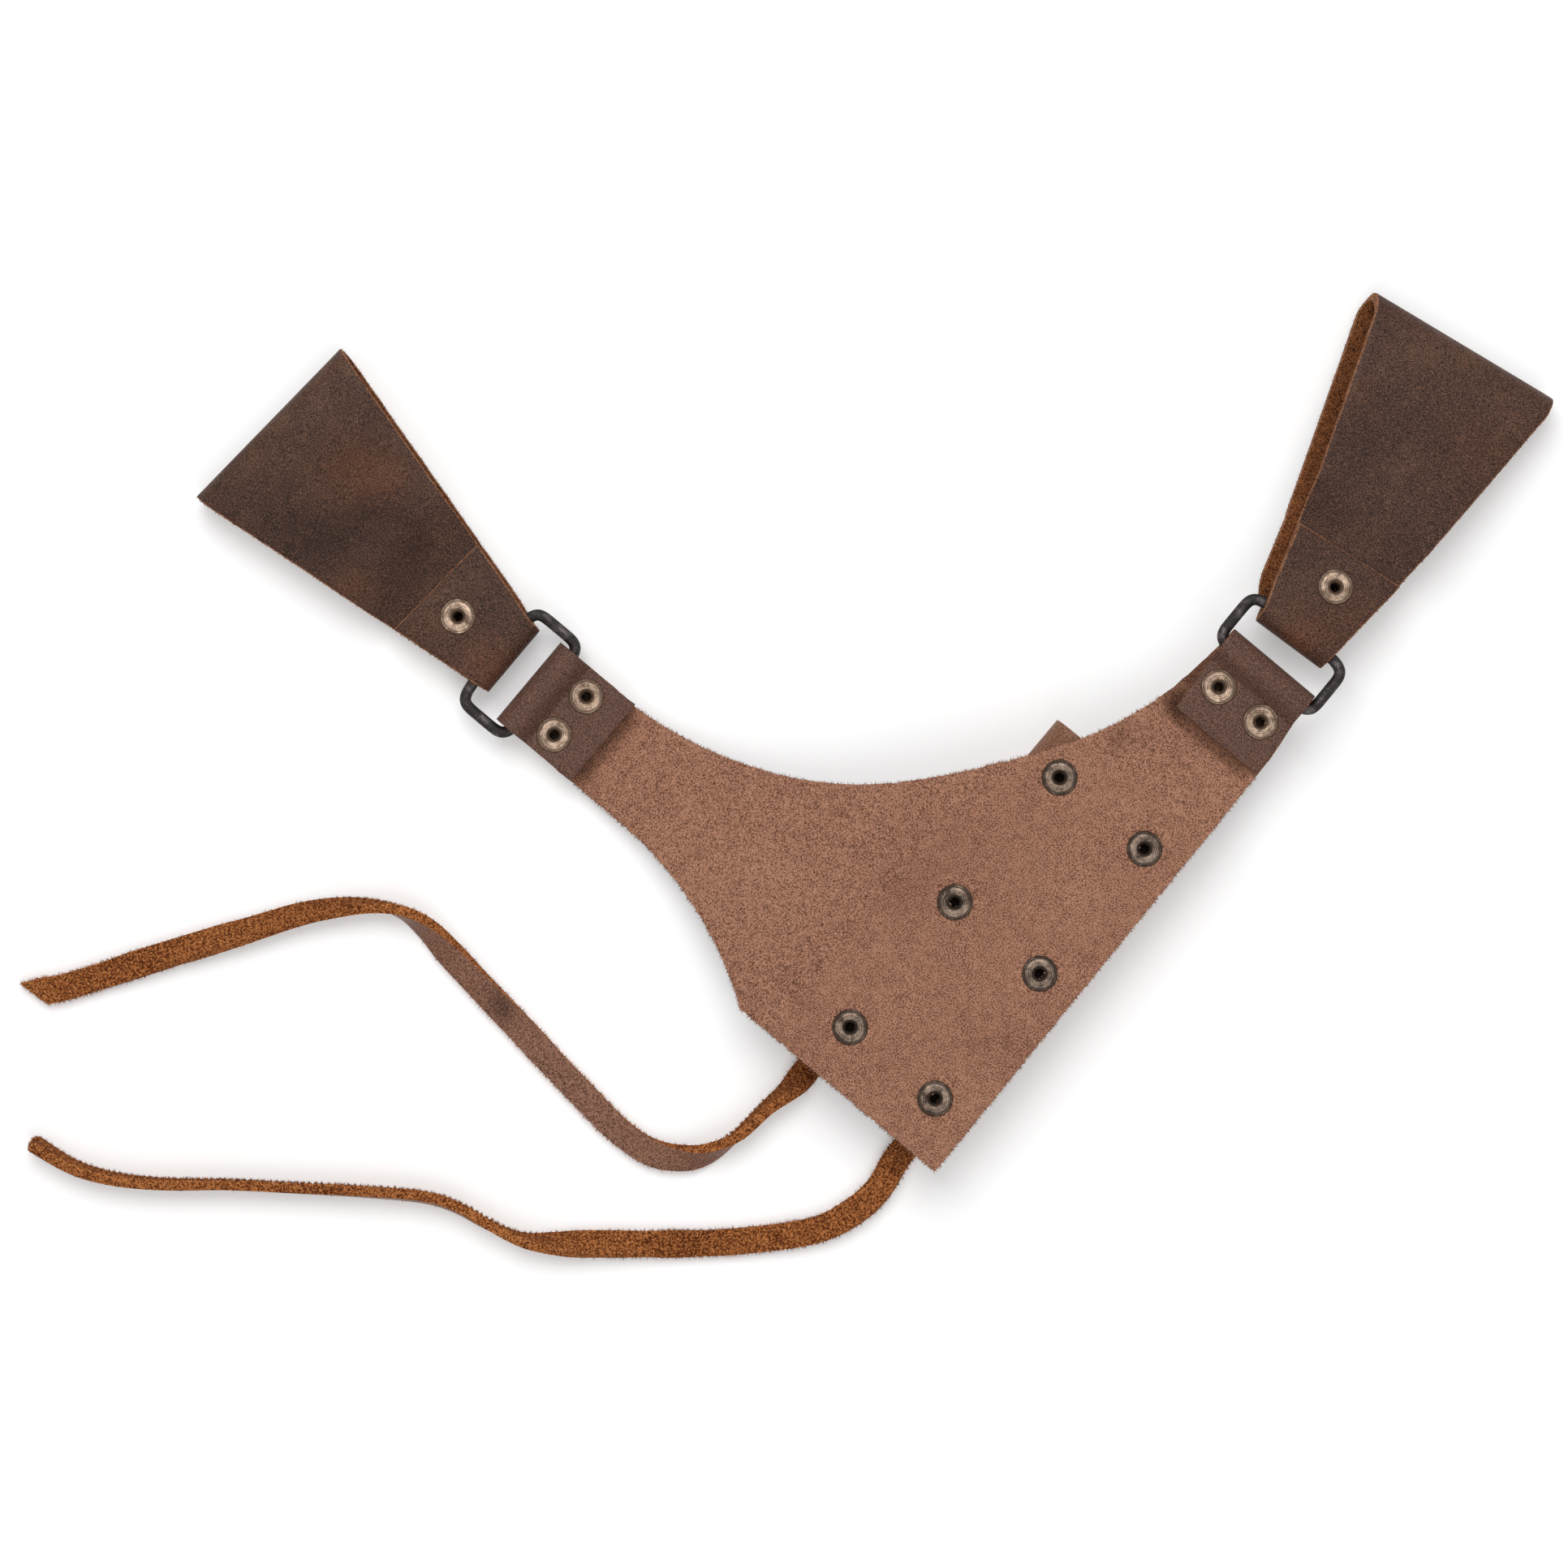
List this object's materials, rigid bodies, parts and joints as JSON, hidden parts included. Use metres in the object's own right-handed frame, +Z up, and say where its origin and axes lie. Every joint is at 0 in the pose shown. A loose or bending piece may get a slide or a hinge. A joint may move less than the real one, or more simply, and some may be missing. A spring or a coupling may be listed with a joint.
{
  "type": "sword frog",
  "caption": "Leather belt hanger for a scabbard: riveted back panel, laced flat sleeve and belt loops on oval metal rings, lying face down.",
  "frame": {"origin": "on the table under the middle of the frog's box, measured without the free lace ends", "axes": "+Z up out of the panel's flesh side, +Y along the sleeve from its foot to the right arm, -X along the left arm"},
  "size_m": [0.2529, 0.3967, 0.0208],
  "materials": {
    "panel_leather": "suede flesh side",
    "loop_leather": "waxed grain side",
    "lace_leather": "raw thong",
    "rivet_brass": "antique",
    "ring_steel": "dark antique"
  },
  "bodies": {
    "frog_body": {"back_panel": "panel_leather", "lace_crossing": "lace_leather", "left_bottom_rivet_cap": "rivet_brass", "left_bottom_rivet_post": "rivet_brass", "left_hem_lower_rivet_cap": "rivet_brass", "left_hem_lower_rivet_post": "rivet_brass", "left_hem_upper_rivet_cap": "rivet_brass", "left_hem_upper_rivet_post": "rivet_brass", "left_lace_end": "lace_leather", "left_middle_rivet_cap": "rivet_brass", "left_middle_rivet_post": "rivet_brass", "left_top_rivet_cap": "rivet_brass", "left_top_rivet_post": "rivet_brass", "right_bottom_rivet_cap": "rivet_brass", "right_bottom_rivet_post": "rivet_brass", "right_hem_left_rivet_cap": "rivet_brass", "right_hem_left_rivet_post": "rivet_brass", "right_hem_right_rivet_cap": "rivet_brass", "right_hem_right_rivet_post": "rivet_brass", "right_lace_end": "lace_leather", "right_middle_rivet_cap": "rivet_brass", "right_middle_rivet_post": "rivet_brass", "right_top_rivet_cap": "rivet_brass", "right_top_rivet_post": "rivet_brass", "scabbard_sleeve": "loop_leather"},
    "left_ring_body": {"left_ring": "ring_steel"},
    "left_loop_body": {"left_belt_loop": "loop_leather", "left_loop_rivet_cap": "rivet_brass", "left_loop_rivet_post": "rivet_brass"},
    "right_ring_body": {"right_ring": "ring_steel"},
    "right_loop_body": {"right_belt_loop": "loop_leather", "right_loop_rivet_cap": "rivet_brass", "right_loop_rivet_post": "rivet_brass"}
  },
  "joints": [
    {"name": "left_ring_hinge", "type": "hinge", "parent": "frog_body", "child": "left_ring_body", "pos_m": [-0.02747, -0.0964, 0.00683], "axis": [0, 1, 0], "range_deg": [-45, 75]},
    {"name": "left_loop_hinge", "type": "hinge", "parent": "left_ring_body", "child": "left_loop_body", "pos_m": [-0.04238, -0.0964, 0.00683], "axis": [0, 1, 0], "range_deg": [-60, 75]},
    {"name": "right_ring_hinge", "type": "hinge", "parent": "frog_body", "child": "right_ring_body", "pos_m": [0.1097, 0.02367, 0.01613], "axis": [1, 0, 0], "range_deg": [-45, 75]},
    {"name": "right_loop_hinge", "type": "hinge", "parent": "right_ring_body", "child": "right_loop_body", "pos_m": [0.1097, 0.03844, 0.01405], "axis": [1, 0, 0], "range_deg": [-60, 75]}
  ]
}
